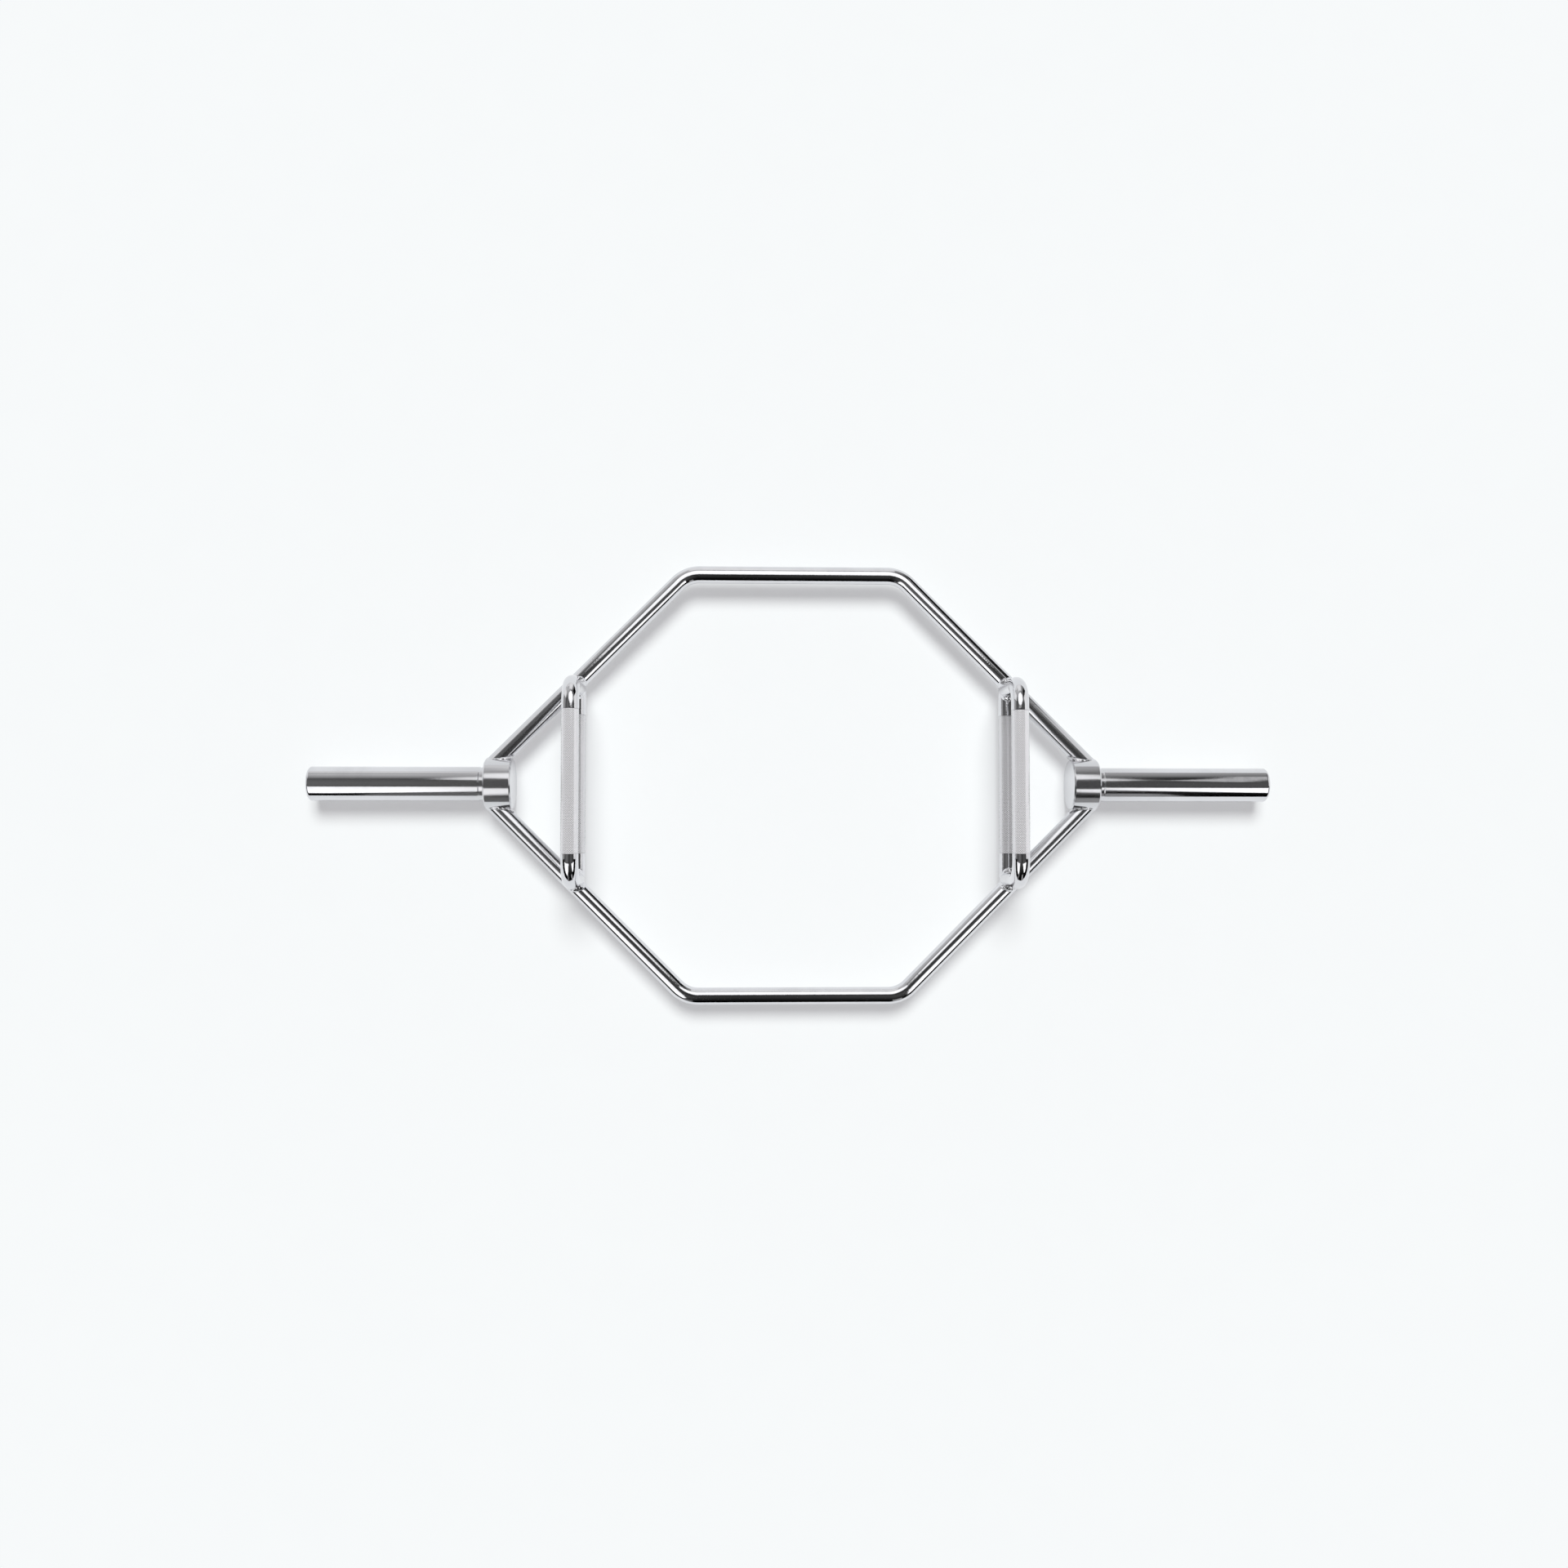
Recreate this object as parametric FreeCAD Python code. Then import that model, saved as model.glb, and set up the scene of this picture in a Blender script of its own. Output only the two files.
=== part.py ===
"""Hex trap bar: bent frame rods welded to two hubs, with plate sleeves and two pairs of handles.

X runs along the sleeves, Y from the front rod to the rear rod and Z up from the floor under the hubs.
All sizes are millimetres.
"""
import FreeCAD, Part
import math
import os

from FreeCAD import Vector

# Plate sleeves: a turned bar with a chamfered end, a shallow neck and a spigot seated in the hub
sleeve_diameter = 50.0
sleeve_length = 255.0
sleeve_end_chamfer = 3.0
neck_diameter = 48.5
neck_length = 7.0
neck_taper_length = 1.6
spigot_diameter = 30.0
spigot_length = 25.0
spigot_clearance = 0.05

# Hubs: plain cylinders between the sleeves and the frame
hub_diameter = 75.0
hub_width = 40.0
hub_rim_chamfer = 2.0
hub_spacing = 820.0

# Frame rods: straight across, bent at two corners and running diagonally onto the hubs
frame_rod_diameter = 25.0
frame_width = 620.0
frame_angle = 45.0
frame_bend_radius = 45.0

# Handles: straight low rods at frame level, and U-shaped rods standing on their ends
handle_diameter = 25.0
handle_spacing = 635.0
raised_handle_rise = 100.0
raised_handle_bend_radius = 32.0
raised_leg_setback = 10.0
cope_lip = 4.0

# Weld beads: rippled fillets, each laid a hair's breadth off the pieces that it joins
hub_weld_leg = 3.5
low_handle_weld_leg = 3.0
raised_handle_weld_leg = 4.0
weld_crown = 0.6
weld_ripple_pitch = 6.0
weld_ripple_height = 0.8
weld_clearance = 0.15
weld_edge = 1.0

# Places that follow from the sizes
sleeve_radius = sleeve_diameter / 2
hub_radius = hub_diameter / 2
rod_radius = frame_rod_diameter / 2
handle_radius = handle_diameter / 2
axis_height = hub_radius
hub_inner_x = hub_spacing / 2
hub_outer_x = hub_inner_x + hub_width
hub_middle_x = hub_inner_x + hub_width / 2
handle_x = handle_spacing / 2
slope = math.radians(frame_angle)
UP = Vector(0, 0, 1)
ALONG = Vector(1, 0, 0)
DEPTH = Vector(0, 1, 0)
CENTRE = Vector(0, 0, 0)


def diagonal_y(x):
    """Y of the right rear diagonal's centreline, which lands on the middle of the hub's side."""
    return hub_radius + (hub_middle_x - x) * math.tan(slope)


def diagonal_x(y):
    """X of the right rear diagonal's centreline."""
    return hub_middle_x - (y - hub_radius) / math.tan(slope)


joint_y = diagonal_y(handle_x)
leg_y = joint_y - raised_leg_setback


def axis_point(x, y):
    """A point in the plane of the sleeves' axis and the frame rods' centrelines."""
    return Vector(x, y, axis_height)


def rounded_path(corners, radius):
    """Straight runs through the corners, with a tangent arc at each inner corner."""
    edges = []
    start = corners[0]
    for before, corner, after in zip(corners, corners[1:], corners[2:]):
        back = (before - corner).normalize()
        ahead = (after - corner).normalize()
        half_angle = back.getAngle(ahead) / 2
        reach = radius / math.tan(half_angle)
        arc_start = corner + back * reach
        arc_end = corner + ahead * reach
        inward = (back + ahead).normalize()
        arc_middle = corner + inward * (radius / math.sin(half_angle) - radius)
        edges.append(Part.LineSegment(start, arc_start).toShape())
        edges.append(Part.Arc(arc_start, arc_middle, arc_end).toShape())
        start = arc_end
    edges.append(Part.LineSegment(start, corners[-1]).toShape())
    return Part.Wire(edges)


def bent_rod(corners, diameter, bend_radius):
    """A round rod bent along the corners."""
    section = Part.Circle(corners[0], corners[1] - corners[0], diameter / 2)
    return rounded_path(corners, bend_radius).makePipe(Part.Face(Part.Wire(section.toShape())))


def turned(profile):
    """A solid turned about the sleeves' axis, from (x, radius) points."""
    points = [Vector(x, 0, axis_height + radius) for x, radius in profile]
    face = Part.Face(Part.makePolygon(points + points[:1]))
    return face.revolve(axis_point(0, 0), ALONG, 360)


def round_bar(start, direction, length, radius):
    """A plain round bar."""
    return Part.makeCylinder(radius, length, start, direction)


def landing(point, heading, carriers, clearance):
    """Where a line first meets a round carrier, or passes nearest to its axis, kept between its ends."""
    hits = []
    for start, end, radius in carriers:
        axis = (end - start).normalize()
        offset = point - start
        across = offset - axis * offset.dot(axis)
        slant = heading - axis * heading.dot(axis)
        nearest = -across.dot(slant) / slant.dot(slant)
        miss = (across + slant * nearest).Length
        depth = math.sqrt(max(0, (radius + clearance)**2 - miss**2)) / slant.Length
        hit = point + heading * (nearest - depth)
        along = (hit - start).dot(axis)
        kept = min(max(along, 0), (end - start).Length)
        hits.append((nearest - depth, hit + axis * (kept - along)))
    return min(hits, key=lambda reach_and_point: reach_and_point[0])[1]


def weld_section(line, heading, outward, radius, leg, carriers):
    """Corner, carrier toe, crown and rod toe of a fillet on one side of a rod."""
    corner = landing(line + outward * (radius + weld_clearance), heading, carriers, weld_clearance)
    carrier_toe = landing(line + outward * (radius + leg), heading, carriers, weld_edge)
    rod_toe = corner - heading * leg
    crown = (carrier_toe + rod_toe) * 0.5 + (outward - heading).normalize() * weld_crown
    return [corner, carrier_toe, crown, rod_toe]


def weld_bead(line, heading, side, radius, leg, carriers):
    """A rippled fillet round a rod that runs from line along heading onto the carriers."""
    lift = heading.cross(side)
    steps = 2 * round(2 * math.pi * radius / weld_ripple_pitch)
    sections = []
    for step in range(steps):
        turn = 2 * math.pi * step / steps
        outward = side * math.cos(turn) + lift * math.sin(turn)
        rippled_leg = leg + weld_ripple_height * (step % 2)
        sections.append(weld_section(line, heading, outward, radius, rippled_leg, carriers))
    facets = []
    for this, following in zip(sections, sections[1:] + sections[:1]):
        for near, far in zip(range(4), (1, 2, 3, 0)):
            facets.append((this[near], this[far], following[far]))
            facets.append((this[near], following[far], following[near]))
    faces = [Part.Face(Part.makePolygon([a, b, c, a])) for a, b, c in facets]
    return Part.makeSolid(Part.makeShell(faces))


def make_sleeve():
    """The right sleeve: a neck beside the hub and a spigot seated to the bottom of its socket."""
    sleeve_end_x = hub_outer_x + sleeve_length
    neck_end_x = hub_outer_x + neck_length
    spigot_end_x = hub_outer_x - spigot_length
    return turned([
        (spigot_end_x, 0),
        (spigot_end_x, spigot_diameter / 2),
        (hub_outer_x, spigot_diameter / 2),
        (hub_outer_x, neck_diameter / 2),
        (neck_end_x, neck_diameter / 2),
        (neck_end_x + neck_taper_length, sleeve_radius),
        (sleeve_end_x - sleeve_end_chamfer, sleeve_radius),
        (sleeve_end_x, sleeve_radius - sleeve_end_chamfer),
        (sleeve_end_x, 0),
    ])


def make_hub():
    """The right hub: a cylinder with chamfered rims and a blind socket for the sleeve's spigot."""
    blank = turned([
        (hub_inner_x, 0),
        (hub_inner_x, hub_radius - hub_rim_chamfer),
        (hub_inner_x + hub_rim_chamfer, hub_radius),
        (hub_outer_x - hub_rim_chamfer, hub_radius),
        (hub_outer_x, hub_radius - hub_rim_chamfer),
        (hub_outer_x, 0),
    ])
    socket_bottom = axis_point(hub_outer_x - spigot_length, 0)
    return blank.cut(round_bar(socket_bottom, ALONG, spigot_length, spigot_diameter / 2 + spigot_clearance))


def diagonal_ends():
    """The right rear diagonal's centreline, from the bend's corner to the sleeves' axis."""
    half_width = frame_width / 2
    return axis_point(diagonal_x(half_width), half_width), axis_point(diagonal_x(0), 0)


def make_rear_rod():
    """The rear frame rod, with both ends coped to the hubs' sides."""
    bend, end = diagonal_ends()
    corners = [end, bend, axis_point(-bend.x, bend.y), axis_point(-end.x, end.y)]
    rod = bent_rod(corners, frame_rod_diameter, frame_bend_radius)
    reach_x = end.x + frame_rod_diameter
    return rod.cut(round_bar(axis_point(-reach_x, 0), ALONG, 2 * reach_x, hub_radius))


def make_low_handle(frame_rods):
    """The right low handle, coped at both ends to the frame rods."""
    end_y = joint_y - cope_lip
    rod = round_bar(axis_point(handle_x, -end_y), DEPTH, 2 * end_y, handle_radius)
    return rod.cut(frame_rods)


def make_raised_handle(low_handle, frame_rods):
    """The right raised handle, with its feet coped to the low handle and the frame rods."""
    foot_z = axis_height + cope_lip
    grip_z = axis_height + raised_handle_rise
    corners = [
        Vector(handle_x, -leg_y, foot_z),
        Vector(handle_x, -leg_y, grip_z),
        Vector(handle_x, leg_y, grip_z),
        Vector(handle_x, leg_y, foot_z),
    ]
    rod = bent_rod(corners, handle_diameter, raised_handle_bend_radius)
    return rod.cut([low_handle, *frame_rods])


def make_hub_weld():
    """The bead round the right rear landing of the frame rod, held within the hub's width."""
    hub = (axis_point(hub_inner_x, 0), axis_point(hub_outer_x, 0), hub_radius)
    corner, end = diagonal_ends()
    heading = (end - corner).normalize()
    return weld_bead(corner, heading, UP, rod_radius, hub_weld_leg, [hub])


def make_raised_handle_weld():
    """The bead round the right rear foot of the raised handle."""
    low_handle = (axis_point(handle_x, 0), axis_point(handle_x, joint_y), handle_radius)
    carriers = [low_handle, (*diagonal_ends(), rod_radius)]
    leg_top = Vector(handle_x, leg_y, axis_height + raised_handle_rise)
    return weld_bead(leg_top, -UP, ALONG, handle_radius, raised_handle_weld_leg, carriers)


def make_low_handle_weld():
    """The bead under the right rear end of the low handle."""
    carriers = [(*diagonal_ends(), rod_radius)]
    bead = weld_bead(axis_point(handle_x, 0), DEPTH, ALONG, handle_radius, low_handle_weld_leg, carriers)
    room = frame_rod_diameter + handle_diameter
    corner = Vector(handle_x - room, joint_y - room, 0)
    return bead.common(Part.makeBox(2 * room, 2 * room, axis_height - weld_clearance, corner))


def turned_half(shape):
    """The same piece on the opposite side, half a turn about Z."""
    return shape.rotated(CENTRE, UP, 180)


def make_nodes():
    """Every piece of the bar by name."""
    sleeve = make_sleeve()
    hub = make_hub()
    rear_rod = make_rear_rod()
    front_rod = turned_half(rear_rod)
    low_handle = make_low_handle([rear_rod, front_rod])
    raised_handle = make_raised_handle(low_handle, [rear_rod, front_rod])

    nodes = {"frame_rod_rear": rear_rod, "frame_rod_front": front_rod}
    right_pieces = {
        "sleeve": sleeve,
        "hub": hub,
        "low_handle": low_handle,
        "raised_handle": raised_handle,
    }
    for name, piece in right_pieces.items():
        nodes[f"{name}_right"] = piece
        nodes[f"{name}_left"] = turned_half(piece)
    rear_right_welds = {
        "hub_weld": make_hub_weld(),
        "low_handle_weld": make_low_handle_weld(),
        "raised_handle_weld": make_raised_handle_weld(),
    }
    for name, bead in rear_right_welds.items():
        mirrored = bead.mirror(CENTRE, DEPTH)
        nodes[f"{name}_right_rear"] = bead
        nodes[f"{name}_right_front"] = mirrored
        nodes[f"{name}_left_front"] = turned_half(bead)
        nodes[f"{name}_left_rear"] = turned_half(mirrored)
    return nodes


os.makedirs("parts", exist_ok=True)
for node_name, node_shape in make_nodes().items():
    node_shape.exportStep(f"parts/{node_name}.step")
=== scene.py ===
"""Hex trap bar: a chrome-plated lifting bar with a hexagonal frame and two heights of handle.

Two bent frame rods meet two hubs, a plate sleeve stands out of each hub, and a low and a raised knurled
handle cross the frame on each side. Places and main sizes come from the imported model's boxes. The sizes
written here are the ones that a box doesn't show: bends, necks, edges, knurling and weld beads.
"""
import logging
import math
from collections.abc import Mapping, Sequence
from dataclasses import dataclass, field
from enum import Enum, IntEnum
from typing import NamedTuple

import bmesh
import bpy
from mathutils import Matrix, Vector, noise


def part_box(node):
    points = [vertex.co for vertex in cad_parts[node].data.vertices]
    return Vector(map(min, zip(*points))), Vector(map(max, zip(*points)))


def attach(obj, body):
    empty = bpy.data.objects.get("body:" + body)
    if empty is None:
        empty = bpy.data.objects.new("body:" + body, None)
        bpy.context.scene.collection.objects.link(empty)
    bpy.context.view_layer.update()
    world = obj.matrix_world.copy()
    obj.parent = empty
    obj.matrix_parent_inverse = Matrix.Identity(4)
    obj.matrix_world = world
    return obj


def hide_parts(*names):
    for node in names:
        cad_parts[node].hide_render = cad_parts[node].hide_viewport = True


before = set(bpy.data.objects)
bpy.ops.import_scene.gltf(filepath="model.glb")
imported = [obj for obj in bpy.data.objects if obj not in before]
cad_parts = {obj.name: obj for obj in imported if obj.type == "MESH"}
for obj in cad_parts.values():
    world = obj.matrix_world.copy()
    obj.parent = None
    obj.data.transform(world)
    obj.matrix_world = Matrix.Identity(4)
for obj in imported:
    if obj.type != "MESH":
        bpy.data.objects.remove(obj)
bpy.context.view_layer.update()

LOG = logging.getLogger("hex_trap_bar")
MM = 0.001
BODY = "root"
AROUND = 96
SLEEVE_AXIS = Vector((1.0, 0.0, 0.0))
HANDLE_AXIS = Vector((0.0, 1.0, 0.0))
UPRIGHT = Vector((0.0, 0.0, 1.0))
# A rounded edge takes at most one of this many parts of each face beside it.
FACE_PARTS = 3
# The Mix node repeats its sockets' names, so these go by number.
MIX_SHARE = 0
COLOUR_FROM, COLOUR_TO, COLOUR_OUT = 6, 7, 2
VECTOR_FROM, VECTOR_TO, VECTOR_OUT = 4, 5, 1


class Side(Enum):
    """The bar's two sides, as the lifter faces the rear."""

    LEFT = -1
    RIGHT = 1

    @property
    def word(self) -> str:
        """The side as it stands in a node's name."""
        return self.name.lower()


class End(Enum):
    """The bar's rear and front."""

    FRONT = -1
    REAR = 1

    @property
    def word(self) -> str:
        """The end as it stands in a node's name."""
        return self.name.lower()


class Slot(Enum):
    """The record's material slots."""

    POLISHED = "polished_chrome"
    TURNED = "turned_chrome"
    KNURLED = "knurled_chrome"
    WELD = "plated_weld"


class Coat(IntEnum):
    """Which of a piece's materials a face takes."""

    MAIN = 0
    GRIP = 1


def linear(code: str) -> tuple[float, float, float, float]:
    """Turn an sRGB hex colour into linear light.

    Args:
        code: The colour, written #RRGGBB.

    Returns:
        Linear red, green and blue, and an alpha of one.
    """
    shares = [int(code[place:place + 2], 16) / 255 for place in (1, 3, 5)]
    red, green, blue = [
        share / 12.92 if share <= 0.04045 else ((share + 0.055) / 1.055) ** 2.4 for share in shares
    ]
    return red, green, blue, 1.0


def add_node(
    tree: bpy.types.NodeTree,
    kind: str,
    inputs: Mapping[str | int, object] | None = None,
    **settings: object,
) -> bpy.types.Node:
    """Add one node with its settings, values and links.

    Args:
        tree: The node tree that gets the node.
        kind: Blender's name for the node's type.
        inputs: A value, or another node's output socket, for each named or numbered input.
        **settings: The node's own properties.

    Returns:
        The new node.
    """
    node = tree.nodes.new(kind)
    for name, value in settings.items():
        setattr(node, name, value)
    for key, value in (inputs or {}).items():
        if isinstance(value, bpy.types.NodeSocket):
            tree.links.new(value, node.inputs[key])
        else:
            node.inputs[key].default_value = value
    return node


def raised_noise(
    tree: bpy.types.NodeTree,
    vector: bpy.types.NodeSocket,
    scale: float,
    detail: float,
    depth_mm: float,
    under: bpy.types.NodeSocket | None = None,
    dimensions: str = "3D",
) -> bpy.types.NodeSocket:
    """Raise an uneven pattern off a surface.

    Args:
        tree: The material's node tree.
        vector: The coordinates that the pattern is drawn in.
        scale: How many of its lumps lie on one unit of them.
        detail: How many finer layers it has.
        depth_mm: Its depth in millimetres.
        under: The normal of the surface below, where that is uneven already.
        dimensions: Whether it runs through the piece, 3D, or lies on its surface, 2D.

    Returns:
        The normal that the pattern gives.
    """
    pattern = add_node(tree, "ShaderNodeTexNoise", {
        "Vector": vector,
        "Scale": scale,
        "Detail": detail,
    }, noise_dimensions=dimensions)
    inputs = {"Height": pattern.outputs["Fac"], "Strength": 1.0, "Distance": depth_mm * MM}
    if under is not None:
        inputs["Normal"] = under
    return add_node(tree, "ShaderNodeBump", inputs).outputs["Normal"]


def bare_material(name: str) -> bpy.types.Material:
    """Start a material with an empty node tree.

    Args:
        name: The material's name.

    Returns:
        The new material.
    """
    material = bpy.data.materials.new(name)
    material.use_nodes = True
    material.node_tree.nodes.clear()
    return material


def stand_mesh(
    name: str, shape: bmesh.types.BMesh, materials: Sequence[bpy.types.Material]
) -> bpy.types.Object:
    """Turn a mesh in the making into an object of the scene.

    Args:
        name: The object's name.
        shape: Its mesh, which is used up.
        materials: Its materials, in the order that its faces use.

    Returns:
        The new object.
    """
    mesh = bpy.data.meshes.new(name)
    shape.to_mesh(mesh)
    shape.free()
    for material in materials:
        mesh.materials.append(material)
    thing = bpy.data.objects.new(name, mesh)
    bpy.context.scene.collection.objects.link(thing)
    return thing


@dataclass(frozen=True)
class ChromePlate:
    """Bright chrome over nickel on steel, the plating that every piece shares.

    A mirror with a faint cool cast. Hands leave a patchy haze on it that softens the reflections.
    """

    name: str
    bright: str = "#DFDFE2"
    dull_and_bounce_light: str = "#D4D4D7"
    clean_roughness: float = 0.045
    hazed_roughness: float = 0.10
    haze_mm: float = 45.0
    haze_from: float = 0.46
    haze_full: float = 0.80
    peel_mm: float = 1.8
    peel_depth_mm: float = 0.012

    def haze(self, tree: bpy.types.NodeTree, place: bpy.types.Node) -> bpy.types.NodeSocket:
        """Draw where the plating is dulled.

        Args:
            tree: The material's node tree.
            place: The texture coordinates.

        Returns:
            The share of haze, from clean at zero to dull at one.
        """
        patches = add_node(tree, "ShaderNodeTexNoise", {
            "Vector": place.outputs["Object"],
            "Scale": 1.0 / (self.haze_mm * MM),
            "Detail": 4.0,
            "Roughness": 0.6,
        })
        return add_node(tree, "ShaderNodeMapRange", {
            "Value": patches.outputs["Fac"],
            "From Min": self.haze_from,
            "From Max": self.haze_full,
        }).outputs["Result"]

    def metal(self, tree: bpy.types.NodeTree, haze: bpy.types.NodeSocket) -> bpy.types.NodeSocket | float:
        """Give how far the plating is a plain mirror, which it is all over."""
        return 1.0

    def relief(self, tree: bpy.types.NodeTree, place: bpy.types.Node) -> bpy.types.NodeSocket:
        """Draw the plating's faint orange peel.

        Args:
            tree: The material's node tree.
            place: The texture coordinates.

        Returns:
            The normal that the peel gives.
        """
        lumps = 1.0 / (self.peel_mm * MM)
        return raised_noise(tree, place.outputs["Object"], lumps, 1.0, self.peel_depth_mm)

    def material(self) -> bpy.types.Material:
        """Build the plating.

        Returns:
            The finished material.
        """
        material = bare_material(self.name)
        tree = material.node_tree
        place = add_node(tree, "ShaderNodeTexCoord")
        haze = self.haze(tree, place)
        tint = add_node(tree, "ShaderNodeMix", {
            MIX_SHARE: haze,
            COLOUR_FROM: linear(self.bright),
            COLOUR_TO: linear(self.dull_and_bounce_light),
        }, data_type="RGBA")
        sheen = add_node(tree, "ShaderNodeMapRange", {
            "Value": haze,
            "To Min": self.clean_roughness,
            "To Max": self.hazed_roughness,
        })
        shader = add_node(tree, "ShaderNodeBsdfPrincipled", {
            "Base Color": tint.outputs[COLOUR_OUT],
            "Metallic": self.metal(tree, haze),
            "Roughness": sheen.outputs["Result"],
            "Normal": self.relief(tree, place),
        })
        add_node(tree, "ShaderNodeOutputMaterial", {"Surface": shader.outputs["BSDF"]})
        return material


@dataclass(frozen=True)
class ShelteredChrome(ChromePlate):
    """Chrome plate that stays duller beside the hubs, where no buffing wheel or weight plate rubs it.

    The eye gets softer bands there than on the open lengths of bar.
    """

    bright_at_mm: float = 325.0
    dull_and_bounce_light_at_mm: float = 350.0

    def haze(self, tree: bpy.types.NodeTree, place: bpy.types.Node) -> bpy.types.NodeSocket:
        """Draw where the plating is dulled, by patches and by the distance from the bar's middle.

        Args:
            tree: The material's node tree.
            place: The texture coordinates.

        Returns:
            The share of haze, from clean at zero to dull at one.
        """
        share = add_node(tree, "ShaderNodeSeparateXYZ", {"Vector": place.outputs["Object"]})
        reach = add_node(tree, "ShaderNodeMath", {0: share.outputs["X"]}, operation="ABSOLUTE")
        sheltered = add_node(tree, "ShaderNodeMapRange", {
            "Value": reach.outputs["Value"],
            "From Min": self.bright_at_mm * MM,
            "From Max": self.dull_and_bounce_light_at_mm * MM,
        })
        return add_node(tree, "ShaderNodeMath", {
            0: super().haze(tree, place),
            1: sheltered.outputs["Result"],
        }, operation="MAXIMUM").outputs["Value"]


@dataclass(frozen=True)
class BuffedChrome(ShelteredChrome):
    """Chrome plate over a drawn rod that was buffed lengthwise.

    The eye gets long mirror bands with slightly streaky edges. Real buffing lines are a few hundredths of a
    millimetre apart, and are drawn coarser here so that they show.
    """

    hazed_roughness: float = 0.15
    line_length_mm: float = 160.0
    line_width_mm: float = 1.6
    line_depth_mm: float = 0.010
    peel_depth_mm: float = 0.030

    def relief(self, tree: bpy.types.NodeTree, place: bpy.types.Node) -> bpy.types.NodeSocket:
        """Draw the buffing lines along the rod.

        Args:
            tree: The material's node tree.
            place: The texture coordinates.

        Returns:
            The normal that the lines give.
        """
        lines = add_node(tree, "ShaderNodeMapping", {
            "Vector": place.outputs["UV"],
            "Scale": (1.0 / (self.line_length_mm * MM), 1.0 / (self.line_width_mm * MM), 1.0),
        })
        peel = super().relief(tree, place)
        return raised_noise(tree, lines.outputs["Vector"], 1.0, 3.0, self.line_depth_mm, peel, "2D")


@dataclass(frozen=True)
class TurnedChrome(ShelteredChrome):
    """Chrome plate over bar stock turned on a lathe.

    The eye gets fine rings round the sleeve and hub that comb the reflections along the axis. A finishing cut
    feeds about 0.15 mm a turn, which is drawn as 1.1 mm so that it shows.
    """

    bright_at_mm: float = 560.0
    dull_and_bounce_light_at_mm: float = 470.0
    clean_roughness: float = 0.06
    hazed_roughness: float = 0.15
    ring_pitch_mm: float = 1.1
    ring_length_mm: float = 400.0
    ring_depth_mm: float = 0.003
    peel_mm: float = 1.3
    peel_depth_mm: float = 0.012

    def relief(self, tree: bpy.types.NodeTree, place: bpy.types.Node) -> bpy.types.NodeSocket:
        """Draw the lathe's rings round the piece.

        Args:
            tree: The material's node tree.
            place: The texture coordinates.

        Returns:
            The normal that the rings give.
        """
        rings = add_node(tree, "ShaderNodeMapping", {
            "Vector": place.outputs["UV"],
            "Scale": (1.0 / (self.ring_pitch_mm * MM), 1.0 / (self.ring_length_mm * MM), 1.0),
        })
        peel = super().relief(tree, place)
        return raised_noise(tree, rings.outputs["Vector"], 1.0, 2.0, self.ring_depth_mm, peel, "2D")


@dataclass(frozen=True)
class KnurledChrome(ChromePlate):
    """Chrome plate over rolled diamond knurling.

    The eye gets a silver band that glitters point by point. Hands rub each crest to a small flat mirror that
    lies round the bar. The flanks between the diamonds are painted pale and made partly matt, which stands in
    for the light that bounces between them and makes them look even.
    """

    bright: str = "#EDEDF0"
    # The flanks' colour: their plating is hazed there, and painted pale for the light that bounces between
    # the diamonds.
    dull_and_bounce_light: str = "#F7F6F9"
    clean_roughness: float = 0.14
    hazed_roughness: float = 0.45
    flank_metal: float = 0.35
    rubbed_above: float = 0.48
    rubbed_below: float = 0.38
    grain_mm: float = 0.7
    grain_depth_mm: float = 0.02

    def haze(self, tree: bpy.types.NodeTree, place: bpy.types.Node) -> bpy.types.NodeSocket:
        """Draw where the plating is dulled and painted pale, below the rubbed crests.

        Args:
            tree: The material's node tree.
            place: The texture coordinates. It is not used here.

        Returns:
            The share of haze, from clean at zero to dull at one.
        """
        crest = add_node(tree, "ShaderNodeAttribute", attribute_name="crest")
        return add_node(tree, "ShaderNodeMapRange", {
            "Value": crest.outputs["Fac"],
            "From Min": self.rubbed_above,
            "From Max": self.rubbed_below,
        }).outputs["Result"]

    def metal(self, tree: bpy.types.NodeTree, haze: bpy.types.NodeSocket) -> bpy.types.NodeSocket | float:
        """Give how far the plating is a plain mirror: all of it on the crests, less on the flanks.

        Args:
            tree: The material's node tree.
            haze: The share of haze.

        Returns:
            The share that the shader's metal gets.
        """
        return add_node(tree, "ShaderNodeMapRange", {
            "Value": haze,
            "To Min": 1.0,
            "To Max": self.flank_metal,
        }).outputs["Result"]

    def relief(self, tree: bpy.types.NodeTree, place: bpy.types.Node) -> bpy.types.NodeSocket:
        """Draw the flat crests, and the small tears that rolling leaves on each diamond.

        Args:
            tree: The material's node tree.
            place: The texture coordinates.

        Returns:
            The normal that the crests and tears give.
        """
        facet = add_node(tree, "ShaderNodeNewGeometry")
        outward = add_node(tree, "ShaderNodeAttribute", attribute_name="outward")
        rubbed = add_node(tree, "ShaderNodeMix", {
            MIX_SHARE: self.haze(tree, place),
            VECTOR_FROM: outward.outputs["Vector"],
            VECTOR_TO: facet.outputs["Normal"],
        }, data_type="VECTOR")
        tears = 1.0 / (self.grain_mm * MM)
        crests = rubbed.outputs[VECTOR_OUT]
        return raised_noise(tree, place.outputs["Object"], tears, 2.0, self.grain_depth_mm, crests)


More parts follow.
